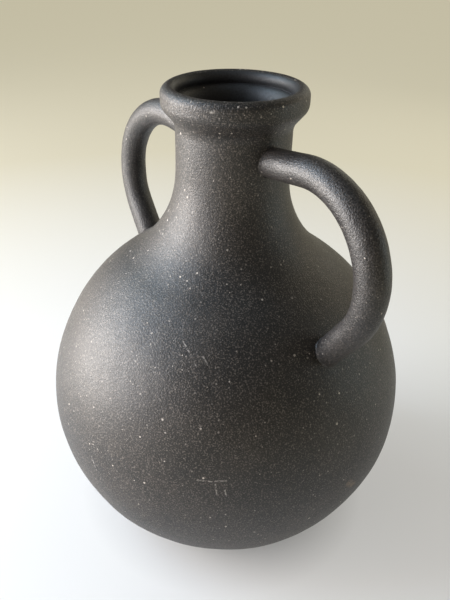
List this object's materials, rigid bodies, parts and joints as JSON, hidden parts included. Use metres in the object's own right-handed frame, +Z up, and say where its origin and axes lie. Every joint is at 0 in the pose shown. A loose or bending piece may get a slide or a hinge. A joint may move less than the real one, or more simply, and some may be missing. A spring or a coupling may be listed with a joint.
{
  "type": "two-handled clay jug",
  "caption": "Round-bellied black clay jug with a flared neck, a thick rolled rim and a loop handle on each side, standing on a flat base.",
  "frame": {"origin": "centre of the flat base, on the surface the jug stands on", "axes": "+Z up along the jug's axis; the two handles lie on +X (right) and -X (left); +Y is a plain side"},
  "size_m": [0.254, 0.24, 0.31],
  "materials": {
    "body_clay": "matte smoked black clay with fine sandy grain",
    "rim_clay": "matte smoked black clay with fine sandy grain",
    "handle_clay": "satin black clay with fine sandy grain",
    "slip_clay": "matte smoothed black slip",
    "base_clay": "matte black clay, worn where it stands"
  },
  "bodies": {
    "root": {"base": "base_clay", "lower_bowl": "body_clay", "upper_body": "body_clay", "neck": "body_clay", "rim": "rim_clay", "handle_right": "handle_clay", "handle_left": "handle_clay", "slip_joint_right_upper": "slip_clay", "slip_joint_right_lower": "slip_clay", "slip_joint_left_upper": "slip_clay", "slip_joint_left_lower": "slip_clay"}
  },
  "joints": []
}
